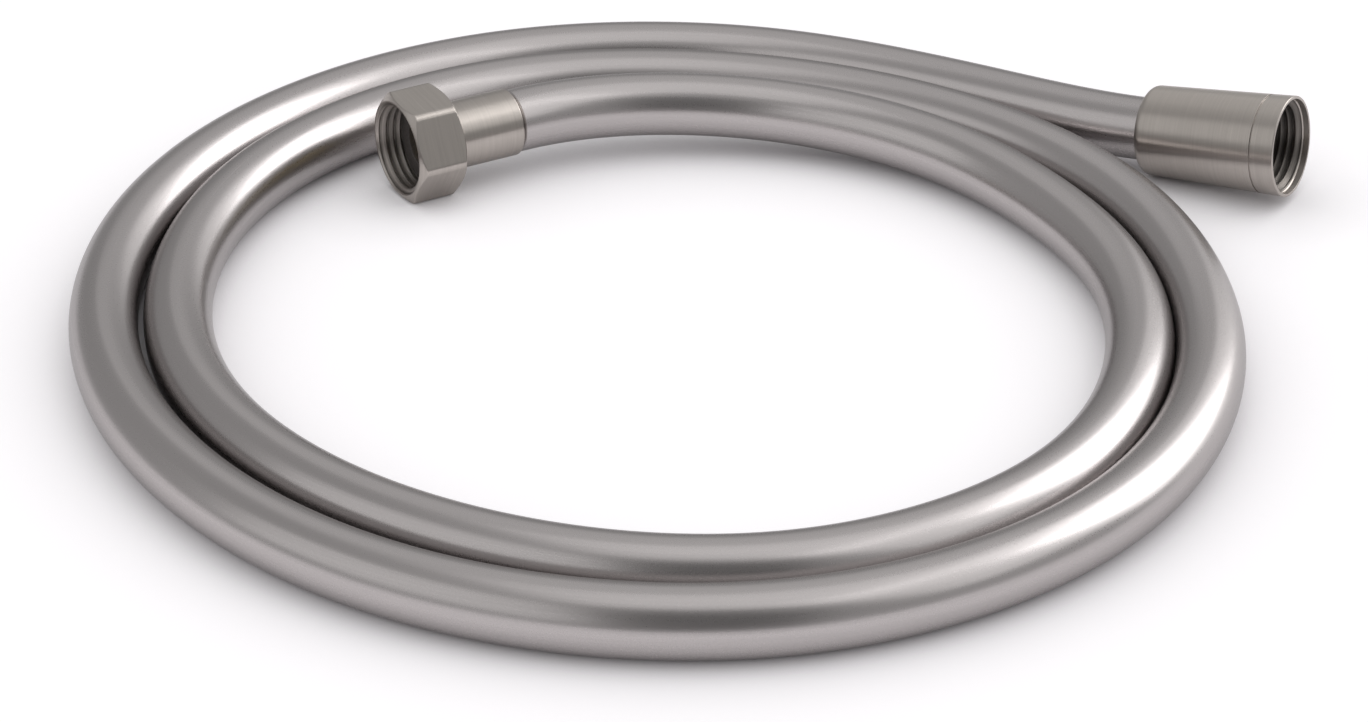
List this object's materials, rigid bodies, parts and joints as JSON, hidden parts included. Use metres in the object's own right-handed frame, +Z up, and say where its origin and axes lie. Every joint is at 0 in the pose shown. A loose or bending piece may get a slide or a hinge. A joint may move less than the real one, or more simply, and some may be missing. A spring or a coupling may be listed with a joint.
{
  "type": "shower hose",
  "caption": "Coiled flexible shower hose with a hexagonal swivel nut on one end, a long conical swivel nut on the other, crimped ferrules and flat washers.",
  "frame": {"origin": "on the surface that the hose lies on, under the middle of the part's box", "axes": "+Z up out of that surface, through the coil's flat side; +Y towards the side where both nuts lie; +X from the hexagonal nut towards the conical nut"},
  "size_m": [0.2725, 0.275, 0.0251],
  "materials": {
    "hose_sheath": "silver foil under a clear satin sheath",
    "brushed_nickel": "plated brass, turned and brushed round the axis",
    "tail_brass": "turned, unplated",
    "washer_rubber": "matt black",
    "ring_plastic": "smooth, off-white"
  },
  "bodies": {
    "hose_line": {"hose": "hose_sheath", "hex_end_tail": "tail_brass", "hex_end_ferrule": "brushed_nickel", "hex_end_washer": "washer_rubber", "cone_end_tail": "tail_brass", "cone_end_ferrule": "brushed_nickel", "cone_end_washer": "washer_rubber"},
    "hex_nut": {"hex_nut": "brushed_nickel"},
    "slip_ring": {"slip_ring": "ring_plastic"},
    "cone_nut": {"cone_nut": "brushed_nickel"}
  },
  "joints": [
    {"name": "hex_nut_swivel", "type": "hinge", "parent": "hose_line", "child": "hex_nut", "pos_m": [-0.071, 0.065, 0.01205], "axis": [0.859, 0.512, 0], "continuous": true},
    {"name": "slip_ring_slide", "type": "slide", "parent": "hose_line", "child": "slip_ring", "axis": [-0.8657, 0.4898, -0.1028], "range_m": [0, 0.006]},
    {"name": "cone_nut_swivel", "type": "hinge", "parent": "slip_ring", "child": "cone_nut", "pos_m": [0.1306, 0.0629, 0.01365], "axis": [-0.8657, 0.4898, -0.1028], "continuous": true}
  ]
}
